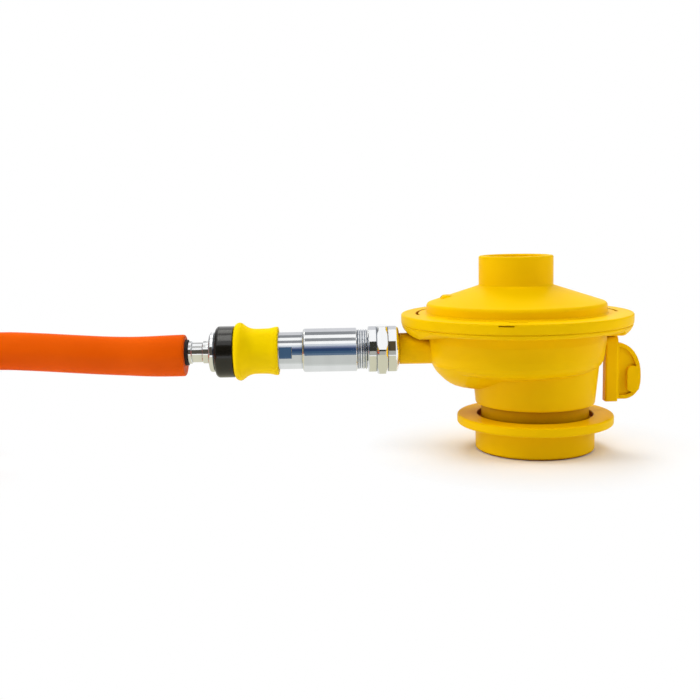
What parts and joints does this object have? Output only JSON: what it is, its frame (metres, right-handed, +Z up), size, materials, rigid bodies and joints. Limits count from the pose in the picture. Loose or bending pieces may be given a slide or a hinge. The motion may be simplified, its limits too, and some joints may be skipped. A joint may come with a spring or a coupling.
{
  "type": "propane regulator hose",
  "caption": "Clip-on low-pressure propane regulator with a lift collar and on-off lever, a quick coupler on its outlet, and a gas hose with a swivel nut.",
  "frame": {"origin": "centre of the inlet socket's mouth, in the plane that the regulator stands on", "axes": "+Z up the inlet axis, -X along the outlet towards the hose, -Y towards the viewer of the front"},
  "size_m": [0.4825, 0.2044, 0.0844],
  "materials": {
    "cast_yellow": "gloss",
    "screw_yellow": "satin",
    "sleeve_yellow": "gloss",
    "black_gloss": "gloss",
    "chrome": "polished",
    "zinc_steel": "satin",
    "spring_steel": "satin",
    "brass": "satin",
    "black_rubber": "matte",
    "black_plastic": "matte",
    "hose_orange": "satin"
  },
  "bodies": {
    "regulator": {"regulator_body": "cast_yellow", "top_cover": "cast_yellow", "diaphragm": "black_rubber", "main_spring": "spring_steel", "adjusting_screw": "screw_yellow", "lever_pivot_pin": "zinc_steel", "nozzle": "brass", "shaft_seal": "black_rubber", "inlet_socket": "cast_yellow", "inlet_spigot": "cast_yellow", "inlet_seal": "black_rubber", "locking_balls": "zinc_steel", "collar_snap_ring": "spring_steel", "outlet_seal": "black_rubber", "plug_body": "chrome", "coupler_body": "chrome", "coupler_oring": "black_rubber", "coupler_balls": "zinc_steel", "coupler_poppet": "brass", "poppet_spring": "spring_steel", "sleeve_spring": "spring_steel", "sleeve_snap_ring": "spring_steel", "hose_liner": "black_rubber", "hose_lead": "hose_orange", "hose_coil": "hose_orange", "hose_tie": "black_plastic", "end_ferrule": "zinc_steel", "end_stem": "brass", "end_seal": "black_rubber"},
    "collar": {"locking_collar": "cast_yellow"},
    "lever": {"on_off_lever": "cast_yellow", "cam_shaft": "zinc_steel", "lever_roll_pin": "spring_steel"},
    "plunger": {"valve_plunger": "brass"},
    "diaphragm_centre": {"diaphragm_plate": "zinc_steel", "diaphragm_stem": "brass"},
    "relay_lever": {"inner_lever": "zinc_steel", "valve_pad": "black_rubber"},
    "sleeve": {"release_sleeve": "sleeve_yellow", "bumper_ring": "black_gloss"},
    "union_nut": {"union_nut": "chrome"},
    "end_nut": {"end_nut": "brass"}
  },
  "joints": [
    {"name": "collar_lift", "type": "slide", "parent": "regulator", "child": "collar", "axis": [0, 0, 1], "range_m": [0, 0.0038]},
    {"name": "lever_turn", "type": "hinge", "parent": "regulator", "child": "lever", "pos_m": [0.033, 0, 0.046], "axis": [-1, 0, 0], "range_deg": [0, 90]},
    {"name": "plunger_push", "type": "slide", "parent": "regulator", "child": "plunger", "axis": [0, 0, -1], "range_m": [0, 0.002]},
    {"name": "diaphragm_stroke", "type": "slide", "parent": "regulator", "child": "diaphragm_centre", "axis": [0, 0, 1], "range_m": [0, 0.0016], "stiffness_N_per_m": 1200, "springref_m": -0.007, "deforming": ["main_spring", "diaphragm"]},
    {"name": "relay_lever_turn", "type": "hinge", "parent": "regulator", "child": "relay_lever", "pos_m": [-0.024, 0, 0.044], "axis": [0, -1, 0], "range_deg": [0, 5.9]},
    {"name": "sleeve_slide", "type": "slide", "parent": "regulator", "child": "sleeve", "axis": [-1, 0, 0], "range_m": [0, 0.005], "stiffness_N_per_m": 1500, "springref_m": -0.003, "deforming": ["sleeve_spring"]},
    {"name": "union_nut_spin", "type": "hinge", "parent": "regulator", "child": "union_nut", "pos_m": [-0.066, 0, 0.045], "axis": [-1, 0, 0], "continuous": true},
    {"name": "end_nut_spin", "type": "hinge", "parent": "regulator", "child": "end_nut", "pos_m": [-0.4115, 0.012, 0.01], "axis": [-1, 0, 0], "continuous": true}
  ],
  "couplings": [
    {"joint": "plunger_push", "follows": "lever_turn", "m_per_rad": 0.00127},
    {"joint": "relay_lever_turn", "follows": "diaphragm_stroke", "rad_per_m": 64.1}
  ]
}
